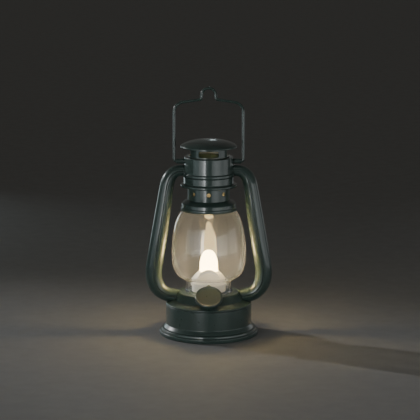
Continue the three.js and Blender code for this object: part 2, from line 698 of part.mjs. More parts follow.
// Corners [x, z, bend radius] to a line of points with each corner rounded.
function rounded(corners) {
  const points = [];
  corners.forEach(([x, z, bend], i) => {
    const here = new THREE.Vector2(x, z);
    if (!bend) {
      points.push(here);
      return;
    }
    const before = new THREE.Vector2(...corners[i - 1]).sub(here).normalize();
    const after = new THREE.Vector2(...corners[i + 1]).sub(here).normalize();
    const half = Math.acos(before.dot(after)) / 2;
    const middle = before.clone().add(after).normalize();
    const centre = here.clone().addScaledVector(middle, bend / Math.sin(half));
    const start = here.clone().addScaledVector(before, bend / Math.tan(half)).sub(centre);
    const finish = here.clone().addScaledVector(after, bend / Math.tan(half)).sub(centre);
    const turn = Math.sign(start.cross(finish)) * (Math.PI - 2 * half);
    const steps = Math.max(2, Math.round(Math.abs(turn) / (Math.PI / 9)));
    for (let k = 0; k <= steps; k += 1) {
      points.push(start.clone().rotateAround(new THREE.Vector2(), (turn * k) / steps).add(centre));
    }
  });
  return points;
}

function bail() {
  const right = [
    [27.4, EAR_Z, 0], [BAIL_HALF, EAR_Z, 2.4], [BAIL_HALF, BAIL_SHOULDER, 12], [9, 284.55, 2],
    [8.35, BAIL_TOP, 8.1],
  ];
  const left = right.map(([x, z, bend]) => [-x, z, bend]).reverse();
  const points = rounded([...right, ...left]);
  const stations = points.map((at, i) => {
    const into = at.clone().sub(points[Math.max(i - 1, 0)]).normalize();
    const away = points[Math.min(i + 1, points.length - 1)].clone().sub(at).normalize();
    const along = into.add(away).normalize();
    const outward = new THREE.Vector2(along.y, -along.x);
    return { x: at.x, z: at.y, outward, radius: BAIL_RADIUS, shift: 0 };
  });
  const outline = [];
  for (let i = 0; i < 8; i += 1) {
    const angle = (i / 8) * Math.PI * 2;
    outline.push([Math.cos(angle), Math.sin(angle)]);
  }
  return swept(outline, stations);
}

add('bail', bail(), GREEN_WIRE);

export default group;
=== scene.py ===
"""Battery hurricane lantern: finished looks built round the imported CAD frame. Sizes are in millimetres
and are turned into metres where a mesh is made."""

import json
import math

import bpy
from mathutils import Matrix, Vector


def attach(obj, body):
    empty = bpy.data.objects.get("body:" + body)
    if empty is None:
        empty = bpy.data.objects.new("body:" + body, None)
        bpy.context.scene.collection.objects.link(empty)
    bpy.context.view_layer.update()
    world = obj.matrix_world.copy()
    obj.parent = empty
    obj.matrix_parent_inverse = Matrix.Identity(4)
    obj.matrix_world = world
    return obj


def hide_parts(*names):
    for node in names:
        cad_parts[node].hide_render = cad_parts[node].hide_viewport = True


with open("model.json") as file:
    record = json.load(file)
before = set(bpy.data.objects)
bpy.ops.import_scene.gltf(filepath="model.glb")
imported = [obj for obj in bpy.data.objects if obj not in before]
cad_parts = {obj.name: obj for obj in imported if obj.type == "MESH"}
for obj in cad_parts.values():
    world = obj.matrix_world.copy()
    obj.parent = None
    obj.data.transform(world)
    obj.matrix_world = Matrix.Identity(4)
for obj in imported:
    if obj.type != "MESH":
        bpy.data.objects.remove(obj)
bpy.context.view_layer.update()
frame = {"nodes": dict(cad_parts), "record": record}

MM = 0.001
TURN = 160

# ------------------------------------------------------------------------------------------------
# Camera and framing

CAMERA_DISTANCE = 2.4
CAMERA_HEIGHT = 0.594
CAMERA_PITCH = 10.46
LENS = 174.4
SENSOR_WIDTH = 36
SHIFT_X = 0.003

camera_data = bpy.data.cameras.new("camera")
camera_data.lens = LENS
camera_data.sensor_width = SENSOR_WIDTH
camera_data.shift_x = SHIFT_X
camera_data.clip_end = 60
camera = bpy.data.objects.new("camera", camera_data)
camera.location = (0, -CAMERA_DISTANCE, CAMERA_HEIGHT)
camera.rotation_euler = (math.radians(90 - CAMERA_PITCH), 0, 0)
bpy.context.scene.collection.objects.link(camera)
bpy.context.scene.camera = camera


# ------------------------------------------------------------------------------------------------
# Mesh helpers

def rounded(corners, closed=True):
    """Corners (r, z) or (r, z, fillet) to a line of points with each filleted corner made an arc."""
    points = []
    count = len(corners)
    for i, corner in enumerate(corners):
        here = Vector(corner[:2])
        fillet = corner[2] if len(corner) > 2 else 0
        if not fillet or (not closed and i in (0, count - 1)):
            points.append(here)
            continue
        before = Vector(corners[i - 1][:2]) - here
        after = Vector(corners[(i + 1) % count][:2]) - here
        half = before.angle(after) / 2
        reach = min(fillet / math.tan(half), 0.49 * before.length, 0.49 * after.length)
        radius = reach * math.tan(half)
        before.normalize()
        after.normalize()
        centre = here + (before + after).normalized() * (radius / math.sin(half))
        start = here + before * reach - centre
        finish = here + after * reach - centre
        sweep = math.pi - 2 * half
        if start.x * finish.y - start.y * finish.x < 0:
            sweep = -sweep
        steps = max(2, math.ceil(abs(sweep) / math.radians(15)))
        for k in range(steps + 1):
            a = sweep * k / steps
            turned = Vector((start.x * math.cos(a) - start.y * math.sin(a),
                             start.x * math.sin(a) + start.y * math.cos(a)))
            points.append(centre + turned)
    return points


def catmull(knots, per_span):
    """Smooth line through knots of any dimension, centripetal so that it doesn't overshoot."""
    knots = [Vector(k) for k in knots]
    ends = [2 * knots[0] - knots[1]] + knots + [2 * knots[-1] - knots[-2]]
    line = []
    for i in range(1, len(ends) - 2):
        p0, p1, p2, p3 = ends[i - 1:i + 3]
        t1 = math.sqrt((p1 - p0).length)
        t2 = t1 + math.sqrt((p2 - p1).length)
        t3 = t2 + math.sqrt((p3 - p2).length)
        for k in range(per_span):
            t = t1 + (t2 - t1) * k / per_span
            a1 = p0 * ((t1 - t) / t1) + p1 * (t / t1)
            a2 = p1 * ((t2 - t) / (t2 - t1)) + p2 * ((t - t1) / (t2 - t1))
            a3 = p2 * ((t3 - t) / (t3 - t2)) + p3 * ((t - t2) / (t3 - t2))
            b1 = a1 * ((t2 - t) / t2) + a2 * (t / t2)
            b2 = a2 * ((t3 - t) / (t3 - t1)) + a3 * ((t - t1) / (t3 - t1))
            line.append(b1 * ((t2 - t) / (t2 - t1)) + b2 * ((t - t1) / (t2 - t1)))
    line.append(knots[-1])
    return line


def make(name, vertices, faces, sharp=35):
    mesh = bpy.data.meshes.new(name)
    mesh.from_pydata([tuple(v) for v in vertices], [], faces)
    mesh.update()
    finish_mesh(mesh, sharp)
    piece = bpy.data.objects.new(name, mesh)
    bpy.context.scene.collection.objects.link(piece)
    return piece


def finish_mesh(mesh, sharp):
    import bmesh
    bm = bmesh.new()
    bm.from_mesh(mesh)
    bmesh.ops.recalc_face_normals(bm, faces=bm.faces)
    bm.to_mesh(mesh)
    bm.free()
    mesh.shade_smooth()
    mesh.set_sharp_from_angle(angle=math.radians(sharp))


def lathe(name, points, segments=TURN, sharp=35):
    """Turns (r, z) points in millimetres about the lamp's axis. Points on the axis become poles; a
    profile that stays off the axis is closed on itself."""
    points = [Vector(p) for p in points]
    closed = points[0].x > 1e-6 and points[-1].x > 1e-6
    vertices = []
    rows = []
    for p in points:
        if p.x <= 1e-6:
            rows.append([len(vertices)] * segments)
            vertices.append((0, 0, p.y * MM))
            continue
        rows.append(list(range(len(vertices), len(vertices) + segments)))
        for k in range(segments):
            a = 2 * math.pi * k / segments
            vertices.append((p.x * math.sin(a) * MM, -p.x * math.cos(a) * MM, p.y * MM))
    pairs = list(zip(rows, rows[1:]))
    if closed:
        pairs.append((rows[-1], rows[0]))
    faces = []
    for low, high in pairs:
        for k in range(segments):
            n = (k + 1) % segments
            ring = [low[k], low[n], high[n], high[k]]
            face = [v for j, v in enumerate(ring) if v != ring[j - 1]]
            if len(face) > 2:
                faces.append(face)
    return make(name, vertices, faces, sharp)


def swept(name, stations, outline, sharp=35):
    """Carries a closed outline of (u, v) along stations of (centre, outward, radius); v is across, +Y."""
    vertices = []
    for centre, outward, radius in stations:
        for angle, inset in outline:
            r = radius - inset
            u, v = r * math.sin(angle), r * math.cos(angle)
            x, z = centre.x + outward.x * u, centre.y + outward.y * u
            vertices.append((x * MM, v * MM, z * MM))
    n = len(outline)
    faces = []
    for s in range(len(stations) - 1):
        for k in range(n):
            m = (k + 1) % n
            faces.append([s * n + k, s * n + m, (s + 1) * n + m, (s + 1) * n + k])
    faces.append(list(range(n)))
    last = (len(stations) - 1) * n
    faces.append([last + k for k in range(n)])
    return make(name, vertices, faces, sharp)


def rod(name, start, end, radius, segments=48, bevel=0.0):
    start, end = Vector(start), Vector(end)
    length = (end - start).length
    ends = [(radius - bevel, 0), (radius, bevel)] if bevel else [(radius, 0)]
    profile = [(0, 0)] + ends + [(r, length - z) for r, z in reversed(ends)] + [(0, length)]
    piece = lathe(name, profile, segments)
    turn = Vector((0, 0, 1)).rotation_difference((end - start).normalized()).to_matrix().to_4x4()
    piece.data.transform(Matrix.Translation(start * MM) @ turn)
    return piece


def combine(piece, other, operation, sharp=35):
    """Boolean of two closed meshes, baked into the first; the second is used up."""
    modifier = piece.modifiers.new("cut", "BOOLEAN")
    modifier.operation = operation
    modifier.solver = "EXACT"
    modifier.object = other
    bpy.context.view_layer.update()
    graph = bpy.context.evaluated_depsgraph_get()
    mesh = bpy.data.meshes.new_from_object(piece.evaluated_get(graph))
    piece.modifiers.remove(modifier)
    piece.data = mesh
    finish_mesh(mesh, sharp)
    bpy.data.objects.remove(other)


def cut(piece, other):
    combine(piece, other, "DIFFERENCE")


def join(piece, other):
    combine(piece, other, "UNION")


# ------------------------------------------------------------------------------------------------
# Materials

def material(name, colour, roughness, metallic=0.0, ior=1.5, coat=0.0):
    m = bpy.data.materials.new(name)
    m.use_nodes = True
    shader = m.node_tree.nodes["Principled BSDF"]
    shader.inputs["Base Color"].default_value = (*colour, 1)
    shader.inputs["Roughness"].default_value = roughness
    shader.inputs["Metallic"].default_value = metallic
    shader.inputs["IOR"].default_value = ior
    shader.inputs["Coat Weight"].default_value = coat
    return m, shader


def noise(tree, scale, detail=3.0, stretch=(1, 1, 1)):
    """Noise in object space, in cycles per metre."""
    coordinates = tree.nodes.new("ShaderNodeTexCoord")
    mapping = tree.nodes.new("ShaderNodeMapping")
    mapping.inputs["Scale"].default_value = stretch
    tree.links.new(coordinates.outputs["Object"], mapping.inputs["Vector"])
    texture = tree.nodes.new("ShaderNodeTexNoise")
    texture.inputs["Scale"].default_value = scale
    texture.inputs["Detail"].default_value = detail
    tree.links.new(mapping.outputs["Vector"], texture.inputs["Vector"])
    return texture.outputs["Fac"]


def spread(tree, value, low, high):
    """Maps a noise value's usual range onto low to high."""
    ramp = tree.nodes.new("ShaderNodeMapRange")
    ramp.inputs["From Min"].default_value = 0.3
    ramp.inputs["From Max"].default_value = 0.7
    ramp.inputs["To Min"].default_value = low
    ramp.inputs["To Max"].default_value = high
    tree.links.new(value, ramp.inputs["Value"])
    return ramp.outputs["Result"]


def bump(tree, shader, height, distance, strength=1.0):
    node = tree.nodes.new("ShaderNodeBump")
    node.inputs["Distance"].default_value = distance
    node.inputs["Strength"].default_value = strength
    tree.links.new(height, node.inputs["Height"])
    tree.links.new(node.outputs["Normal"], shader.inputs["Normal"])


def tint(tree, shader, value, dark, light):
    """Base colour that wanders between two shades."""
    mix = tree.nodes.new("ShaderNodeMix")
    mix.data_type = "RGBA"
    mix.inputs["A"].default_value = (*dark, 1)
    mix.inputs["B"].default_value = (*light, 1)
    tree.links.new(value, mix.inputs["Factor"])
    tree.links.new(mix.outputs["Result"], shader.inputs["Base Color"])


def surface(name, dark, light, rough, grain, relief, metallic=0.0, coat=0.0, stretch=(1, 1, 1)):
    """Moulded, painted or plated finish: colour, roughness and relief all vary at their own scale."""
    m, shader = material(name, light, sum(rough) / 2, metallic, coat=coat)
    tree = m.node_tree
    tint(tree, shader, spread(tree, noise(tree, 45), 0, 1), dark, light)
    tree.links.new(spread(tree, noise(tree, grain * 0.35, 4, stretch), *rough), shader.inputs["Roughness"])
    bump(tree, shader, noise(tree, grain, 2, stretch), relief)
    return m


GLASS_HAZE = 0.0155
FLAME_STRENGTH = 145.0


def gloss_paint():
    """Dark green gloss enamel with a faint orange peel and a clear top layer."""
    m = surface("green_gloss", (0.030, 0.053, 0.046), (0.037, 0.065, 0.056), (0.27, 0.36), 620, 0.000005,
                coat=0.7)
    m.node_tree.nodes["Principled BSDF"].inputs["Coat Roughness"].default_value = 0.04
    return m


def clear_glass():
    """Blown clear glass with a trace of haze; shadow rays pass, so the flame lights what is outside."""
    m = bpy.data.materials.new("globe_glass")
    m.use_nodes = True
    tree = m.node_tree
    shader = tree.nodes["Principled BSDF"]
    shader.inputs["Base Color"].default_value = (0.98, 0.98, 0.96, 1)
    shader.inputs["Roughness"].default_value = 0.015
    shader.inputs["IOR"].default_value = 1.49
    shader.inputs["Transmission Weight"].default_value = 1.0
    bump(tree, shader, noise(tree, 60, 1, (1, 1, 0.15)), 0.00025)
    haze = tree.nodes.new("ShaderNodeBsdfTranslucent")
    haze.inputs["Color"].default_value = (0.74, 0.79, 1.0, 1)
    veil = tree.nodes.new("ShaderNodeMixShader")
    streaks = spread(tree, noise(tree, 55, 3, (1, 1, 0.12)), 0.55 * GLASS_HAZE, 1.5 * GLASS_HAZE)
    tree.links.new(streaks, veil.inputs["Fac"])
    tree.links.new(shader.outputs["BSDF"], veil.inputs[1])
    tree.links.new(haze.outputs["BSDF"], veil.inputs[2])
    path = tree.nodes.new("ShaderNodeLightPath")
    clear = tree.nodes.new("ShaderNodeBsdfTransparent")
    clear.inputs["Color"].default_value = (0.75, 0.75, 0.74, 1)
    mix = tree.nodes.new("ShaderNodeMixShader")
    tree.links.new(path.outputs["Is Shadow Ray"], mix.inputs["Fac"])
    tree.links.new(veil.outputs["Shader"], mix.inputs[1])
    tree.links.new(clear.outputs["BSDF"], mix.inputs[2])
    tree.links.new(mix.outputs["Shader"], tree.nodes["Material Output"].inputs["Surface"])
    return m


def flame():
    """Frosted plastic flame, lit from inside."""
    m, shader = material("flame_frosted", (0.95, 0.93, 0.88), 0.55)
    shader.inputs["Emission Color"].default_value = (1.0, 0.71, 0.31, 1)
    shader.inputs["Emission Strength"].default_value = FLAME_STRENGTH
    bump(m.node_tree, shader, noise(m.node_tree, 2500, 2), 0.00002)
    return m


GREEN = gloss_paint()
GLASS = clear_glass()
FLAME = flame()
WHITE = surface("white_moulded", (0.88, 0.87, 0.84), (0.93, 0.92, 0.89), (0.32, 0.46), 900, 0.00001)
BLACK = surface("black_moulded", (0.016, 0.017, 0.018), (0.024, 0.025, 0.026), (0.42, 0.6), 1400, 0.00003)
STEEL = surface("plated_steel", (0.50, 0.51, 0.52), (0.62, 0.63, 0.64), (0.2, 0.34), 1800, 0.000008,
                metallic=1.0)
BRASS = surface("plain_brass", (0.52, 0.36, 0.13), (0.66, 0.47, 0.19), (0.24, 0.38), 1500, 0.000008,
                metallic=1.0)
# Pale warm metal for the inner walls of the neck and vent ring: painted flame light, made lighter than their
# own shading would give.
FLAME_GLOW_METAL = surface("flame_glow_metal", (0.50, 0.46, 0.38), (0.60, 0.56, 0.47), (0.34, 0.48), 1200, 0.000008,
              metallic=1.0)
BOARD = surface("solder_mask", (0.012, 0.075, 0.03), (0.02, 0.11, 0.045), (0.3, 0.45), 1600, 0.00001)
PHOSPHOR = surface("phosphor", (0.75, 0.55, 0.12), (0.9, 0.7, 0.2), (0.4, 0.5), 1500, 0.00001)
JACKET = surface("cell_sleeve", (0.07, 0.085, 0.12), (0.10, 0.12, 0.16), (0.26, 0.36), 500, 0.00001)
RED = surface("red_insulation", (0.30, 0.015, 0.012), (0.42, 0.025, 0.018), (0.4, 0.52), 1500, 0.00001)

SLOT_LOOKS = {
    "green_shell": GREEN, "green_wire": GREEN, "clear_glass": GLASS, "frosted_flame": FLAME,
    "white_burner": WHITE, "black_plastic": BLACK, "plated_steel": STEEL, "brass": BRASS, "board": BOARD,
    "emitter": PHOSPHOR, "cell_jacket": JACKET, "red_lead": RED,
}

# Every CAD node starts with its slot's look; the ones remade below are then replaced.
slot_of = {part["node"]: part["material_slot"] for part in frame["record"]["subparts"]}
for node, part in frame["nodes"].items():
    part.data.materials.clear()
    part.data.materials.append(SLOT_LOOKS[slot_of[node]])
    part.data.shade_smooth()
    part.data.set_sharp_from_angle(angle=math.radians(28))


def place(piece, node, body="frame", *more):
    """The piece stands for a CAD node and takes its body, slot and look."""
    piece.data.materials.clear()
    piece.data.materials.append(SLOT_LOOKS[slot_of[node]])
    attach(piece, body)
    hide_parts(node, *more)


def paint_flame_glow_inside(piece, radius):
    """Gives the inward-facing wall of a turned piece a pale warm metal: a painted glow standing in for the
    flame's light falling on it.
    """
    piece.data.materials.append(FLAME_GLOW_METAL)
    for face in piece.data.polygons:
        reach = face.center.x * face.normal.x + face.center.y * face.normal.y
        if reach < 0 and math.hypot(face.center.x, face.center.y) < radius * MM:
            face.material_index = 1


# ------------------------------------------------------------------------------------------------
# Base housing and shoulder cover

def base_housing():
    profile = rounded([
        (55, 0, 0.4), (59.4, 0, 0.9), (59.4, 5.0, 1.5), (57.1, 5.6, 0.4), (56.7, 8.1, 1.3),
        (54.3, 8.7, 0.3),
        (53.9, 9.6, 0.4), (51.6, 13.4, 2.2), (51.6, 36.2, 0.5), (49.8, 36.2, 0.2), (49.8, 3.3), (55, 3.3),
    ])
    place(lathe("base_shell", profile), "base_housing")


DOME = [
    (51.6, 36.6, 0.4), (51.6, 38.4, 1.6), (45.2, 40.9, 2), (41.2, 42.1, 1.2), (37.7, 50.4, 2.0),
    (36.4, 51.5, 0.8),
    (12, 51.5, 0.3), (12, 49.6), (34.6, 49.6, 1), (38.2, 41.9, 1), (40.4, 40.1), (44.6, 38.9), (47.6, 37.6),
    (47.6, 34), (49.3, 34), (49.3, 36.6),
]
TILT = math.radians(54)
KNOB_FACE = Vector((0, -44.6, 55.1))
INWARD = Vector((0, math.cos(TILT), -math.sin(TILT)))


def on_axis(depth):
    return KNOB_FACE + INWARD * depth


def tilt_piece(piece):
    """Moves a piece turned about +Z, with z = 0 at the knob's face, onto the dimmer's axis."""
    turn = Matrix.Rotation(math.pi / 2 - TILT, 4, "X")
    piece.data.transform(Matrix.Translation(KNOB_FACE * MM) @ turn)
    return piece


SCREW_SPOTS = [(41.4, -13.2), (0, 42.8), (-41.4, -13.2)]
BOSS_RADIUS = 12.4
BOSS_BORE = 9
BUSHING_HOLE = 4.4
POST_RADIUS = 3.2
PILOT_RADIUS = 1.55
BOARD_POST_X = 16
BOARD_POST_Y = 8
BOARD_POST_RADIUS = 2.6
BOARD_PILOT_RADIUS = 1.2


def shoulder_cover():
    cover = lathe("shoulder_shell", rounded(DOME))
    boss = rod("boss", on_axis(5), on_axis(17), BOSS_RADIUS, 96, bevel=0.5)
    under_dome = [(0, 20), (47.0, 20), (47.0, 38), (44.6, 39.2), (38.9, 41.9), (35, 49.9), (0, 50)]
    cut(boss, lathe("hollow", under_dome))
    cut(boss, lathe("clearance", [(0, 51), (29.2, 51), (29.2, 70), (0, 70)]))
    join(cover, boss)
    cut(cover, rod("bore", on_axis(7.6), on_axis(24), BOSS_BORE, 64))
    cut(cover, rod("bushing_hole", on_axis(0), on_axis(24), BUSHING_HOLE, 48))
    for x, y in SCREW_SPOTS:
        post = rod("post", (x, y, 6.3), (x, y, 40.2), POST_RADIUS, 32)
        join(cover, post)
        cut(cover, rod("pilot", (x, y, 0), (x, y, 18), PILOT_RADIUS, 24))
    y = BOARD_POST_Y
    for x in (-BOARD_POST_X, BOARD_POST_X):
        join(cover, rod("board_post", (x, y, 45.6), (x, y, 50.1), BOARD_POST_RADIUS, 24))
        cut(cover, rod("board_pilot", (x, y, 40), (x, y, 49), BOARD_PILOT_RADIUS, 16))
    place(cover, "shoulder_cover")


base_housing()
shoulder_cover()

# ------------------------------------------------------------------------------------------------
# Side tubes: half shells meeting along the middle of the front and back

TUBE_KNOTS = [
    (27.6, 6.85, 198.7), (34, 6.95, 198.6), (40, 7.4, 197.2), (45.5, 8, 192.2), (48.6, 8.5, 185),
    (50.6, 8.7, 175.3), (53.3, 9.3, 157), (56.1, 9.8, 138.7), (60.1, 10.1, 114.2), (64.2, 10.1, 89.7),
    (65.9, 10.0, 77.3), (65.2, 10.0, 66), (61.2, 9.6, 56.4), (54, 9.0, 49.8), (46, 8.5, 47),
    (36, 8.1, 45.6),
]
TUBE_WALL = 1.5
HALF_GAP = 0.15
COPING_GAP = 0.3
SEAM_STEP = 0.7


def tube_half(name, side, outer):
    line = catmull(TUBE_KNOTS, 12)
    facing = 1 if outer else -1
    stations = []
    for i, p in enumerate(line):
        ahead, behind = line[min(i + 1, len(line) - 1)], line[max(i - 1, 0)]
        along = Vector((ahead.x - behind.x, ahead.z - behind.z)).normalized()
        outward = Vector((-along.y * side, along.x)) * facing
        radius = p.y if outer else p.y - SEAM_STEP
        shift = outward * HALF_GAP
        stations.append((Vector((p.x * side, p.z)) + shift, outward, radius))
    arc = 22
    half = math.pi / 2
    lip = math.radians(3)
    outline = [(half + (k / arc * 2 - 1) * (half - lip), 0.0) for k in range(arc + 1)]
    outline += [(math.pi - math.radians(0.8), 0.12), (math.pi, 0.4)]
    outline += [(half - (k / arc * 2 - 1) * half, TUBE_WALL) for k in range(arc + 1)]
    outline += [(0.0, 0.4), (math.radians(0.8), 0.12)]
    piece = swept(name, stations, outline)
    grown = [(p.x + COPING_GAP, p.y + COPING_GAP) for p in rounded(DOME[:7]) if p.x > 13]
    coping = [(0, 20)] + grown + [(0, 51.8)]
    cut(piece, lathe("coping", coping, 96))
    return piece


for side_name, side in (("left", -1), ("right", 1)):
    for half_name, outer in (("outer", True), ("inner", False)):
        node = f"tube_{side_name}_{half_name}"
        place(tube_half(node + "_shell", side, outer), node)

# ------------------------------------------------------------------------------------------------
# Dimmer knob

def dimmer_knob():
    profile = rounded([
        (0, -4.6), (15.8, -4.6, 0.5), (16.4, -3.8, 0.4), (16.4, -0.9, 0.7), (15.5, 0, 0.5), (14.7, 0, 0.3),
        (14.1, -0.7, 0.3), (0, -0.55),
    ], closed=False)
    knob = lathe("knob_disc", profile, 120)
    tip = [(-3.4, 15.2), (3.4, 15.2), (0.5, 18.4), (-0.5, 18.4)]
    vertices = [(x * MM, y * MM, z * MM) for z in (-1.9, -0.4) for x, y in tip]
    faces = [[3, 2, 1, 0], [4, 5, 6, 7]] + [[k, (k + 1) % 4, (k + 1) % 4 + 4, k + 4] for k in range(4)]
    join(knob, make("pointer", vertices, faces))
    cut(knob, rod("recess", (0, 0, -6), (0, 0, -2.9), 8, 48))
    cut(knob, rod("shaft_bore", (0, 0, -4), (0, 0, -1.6), 2.85, 32))
    place(tilt_piece(knob), "dimmer_knob", "dimmer")


dimmer_knob()

# ------------------------------------------------------------------------------------------------
# Burner, flame and globe

THROAT_RADIUS = 11.2
LIP_NEAR = 11.4
LIP_FAR = 12.9
LIP_HALF_WIDTH = 13.8
LIP_FOOT = 66
LIP_TOP = 80.2
CONE_WALL = 1.4
GLOBE_WALL = 1.8


def burner():
    base = rounded([
        (9, 47.2), (11.6, 47.2), (11.6, 51.8), (20.4, 51.8, 0.4), (20.4, 60, 0.3), (18.8, 60), (18.8, 53.3),
        (9, 53.3, 0.4),
    ])
    place(lathe("burner_drum", base, 128), "burner_base")
    plate = rounded([
        (5, 62.4), (17.6, 62.4), (17.6, 57.3), (18.5, 57.3), (18.5, 60.3), (21.2, 60.3, 0.5),
        (21.2, 65.3, 0.8),
        (20.3, 65.3, 0.2), (20.3, 64.2), (5, 64.2),
    ])
    place(lathe("burner_rim", plate, 128), "burner_plate")
    outside = [(20, 64.6)] + [tuple(p) for p in catmull([
        (20, 65.6), (19.2, 67.8), (17.4, 70.8), (14.8, 73.8), (11, 77), (6, 78.8), (0, 79.2)], 5)]
    inside = [(18.6, 64.6)] + [(max(r - CONE_WALL, 0), z - 1) for r, z in outside[1:]]
    cone = lathe("burner_dome", outside + inside[::-1], 128)
    for side in (-1, 1):
        join(cone, arch("lip", side * LIP_NEAR, side * LIP_FAR, LIP_HALF_WIDTH, LIP_FOOT, LIP_TOP))
    cut(cone, rod("throat", (0, 0, 60), (0, 0, 90), THROAT_RADIUS, 96))
    place(cone, "burner_cone")
    flame_outside = catmull([
        (10.4, 70), (10.9, 76), (10.9, 82), (10.5, 88.4), (9.5, 92.8), (7.8, 97), (6, 99.8), (3.6, 101.4),
        (0, 101.9)], 6)
    flame_inside = catmull([
        (0, 100.7), (5, 99), (6.7, 96.4), (8.3, 92.4), (9.3, 88), (9.7, 82), (9.2, 70)], 6)
    place(lathe("flame_shell", flame_outside + flame_inside, 96), "flame_bulb")


def arch(name, near, far, half_width, low, high, steps=40, soft=0.3):
    """Half-round lip standing across the throat, from y = near to y = far, with softened edges."""
    rows = [(near, soft), (near + (far - near) * 0.2, 0), (near + (far - near) * 0.8, 0), (far, soft)]
    vertices = []
    for y, inset in rows:
        for k in range(steps + 1):
            a = math.pi * k / steps
            x, z = (half_width - inset) * math.cos(a), low + (high - low - inset) * math.sin(a)
            vertices.append((x * MM, y * MM, z * MM))
    n = steps + 1
    faces = [[r * n + k, r * n + (k + 1) % n, (r + 1) * n + (k + 1) % n, (r + 1) * n + k]
             for r in range(3) for k in range(n)]
    faces += [list(range(n)), [3 * n + k for k in range(n)]]
    return make(name, vertices, faces)


def globe():
    foot = rounded([
        (25.4, 51.8), (28.6, 51.8, 0.7), (28.6, 53.4, 0.7), (27.3, 54.4, 0.6), (27.2, 56)], closed=False)
    belly = catmull([
        (27.2, 56), (27.2, 63.2), (29.2, 66.2), (34.4, 69.5), (38.6, 73), (41.4, 77.4), (43.9, 86),
        (44.8, 99), (44, 114), (42.5, 126.5), (39.6, 138.7), (34.6, 148), (31.9, 151.2), (31.5, 154.2)], 7)
    inner = []
    for i, p in enumerate(belly):
        along = (belly[min(i + 1, len(belly) - 1)] - belly[max(i - 1, 0)]).normalized()
        inner.append(Vector((p.x - along.y * GLOBE_WALL, p.y + along.x * GLOBE_WALL)))
    inner[-1] = Vector((29.7, 154.2))
    inner = [p for i, p in enumerate(inner) if i == len(inner) - 1 or p.y < 153.8]
    place(lathe("globe_glass", foot[:-1] + belly + inner[::-1], 192), "globe")


burner()
globe()

# ------------------------------------------------------------------------------------------------
# Crown, neck, chimney, vent ring and cap

def crown():
    profile = rounded([
        (32.4, 151.3, 0.2), (33.7, 151.3, 0.6), (33.7, 155.0, 0.7), (32.7, 155.6, 0.3), (32.7, 159.8, 1.2),
        (28.6, 163, 1.5), (25.8, 164.4, 0.2), (25.8, 163), (30.2, 159.6), (31.3, 158.4), (32.4, 154.6),
    ])
    place(lathe("crown_shell", profile), "globe_crown")


def neck():
    ring = lathe("neck_shell", [(24, 160.6), (25.5, 160.6), (25.5, 181), (24, 181)], 192)
    for i in range(4):
        a = math.pi * i / 4
        x, y = 30 * math.sin(a), 30 * math.cos(a)
        cut(ring, rod("hole", (-x, -y, 173), (x, y, 173), 2.5, 32))
    place(ring, "neck_ring")
    # Inner wall painted a pale warm metal: a painted glow of the flame's light seen through the holes.
    paint_flame_glow_inside(ring, 24.2)


SOCKET_RADIUS = 7.3
EAR_Z = 210.4


def chimney():
    lower = lathe("chimney_skirt", rounded([
        (25.8, 180, 0.2), (33.8, 180, 1.1), (33.8, 183.3, 1.1), (31.0, 183.5, 0.5), (30.2, 184.6, 0.6),
        (30.2, 192.1, 0.4), (28.9, 192.3), (28.9, 194.8), (27.4, 194.8), (27.4, 183), (25.8, 181.6),
    ]))
    upper = lathe("chimney_drum", rounded([
        (30.2, 192.5, 0.3), (31.1, 192.8, 0.7), (31.1, 196.0, 0.8), (29.4, 196.7, 0.5),
        (29.4, 215.9, 0.8), (23, 216),
        (23, 214.6), (27.9, 214.4, 1.2), (27.9, 195.4), (29.2, 195.2),
    ]))
    for side in (-1, 1):
        for part in (lower, upper):
            cut(part, rod("socket", (side * 20, 0, 198.7), (side * 36, 0, 198.7), SOCKET_RADIUS, 64))
        cut(upper, rod("ear_hole", (side * 22, 0, EAR_Z), (side * 34, 0, EAR_Z), 3.4, 32))
    place(lower, "chimney_lower")
    place(upper, "chimney_upper")


def wedge(name, half_angle, reach, low, high):
    corners = [(0, 0), (reach * math.sin(half_angle), -reach * math.cos(half_angle)),
               (-reach * math.sin(half_angle), -reach * math.cos(half_angle))]
    vertices = [(x * MM, y * MM, z * MM) for z in (low, high) for x, y in corners]
    faces = [[0, 2, 1], [3, 4, 5], [0, 1, 4, 3], [1, 2, 5, 4], [2, 0, 3, 5]]
    return make(name, vertices, faces)


SLOT_HALF_ANGLE = math.radians(29.5)
SLOT_LOW = 217.6
SLOT_HIGH = 225.1
SLOT_CORNER = 2.2
SLOT_MEAN_RADIUS = 24
CUT_REACH = 40


def vent_ring():
    """Plain sleeve with four long slots that have rounded corners."""
    ring = lathe("vent_shell", rounded([(23, 216.3), (24.6, 216.3), (24.6, 229.3), (23, 229.3)]), 192)
    inset = SLOT_CORNER / SLOT_MEAN_RADIUS
    for i in range(4):
        cutters = [wedge("slot", SLOT_HALF_ANGLE - inset, CUT_REACH, SLOT_LOW, SLOT_HIGH),
                   wedge("slot", SLOT_HALF_ANGLE, CUT_REACH, SLOT_LOW + SLOT_CORNER, SLOT_HIGH - SLOT_CORNER)]
        for side in (-1, 1):
            a = side * (SLOT_HALF_ANGLE - inset)
            x, y = CUT_REACH * math.sin(a), -CUT_REACH * math.cos(a)
            for z in (SLOT_LOW + SLOT_CORNER, SLOT_HIGH - SLOT_CORNER):
                cutters.append(rod("slot", (0, 0, z), (x, y, z), SLOT_CORNER, 32))
        for cutter in cutters:
            cutter.data.transform(Matrix.Rotation(math.pi / 2 * i, 4, "Z"))
            cut(ring, cutter)
    place(ring, "vent_ring")
    # Inner wall painted a pale warm metal: a painted glow of the flame's light seen through the slots.
    paint_flame_glow_inside(ring, 23.2)


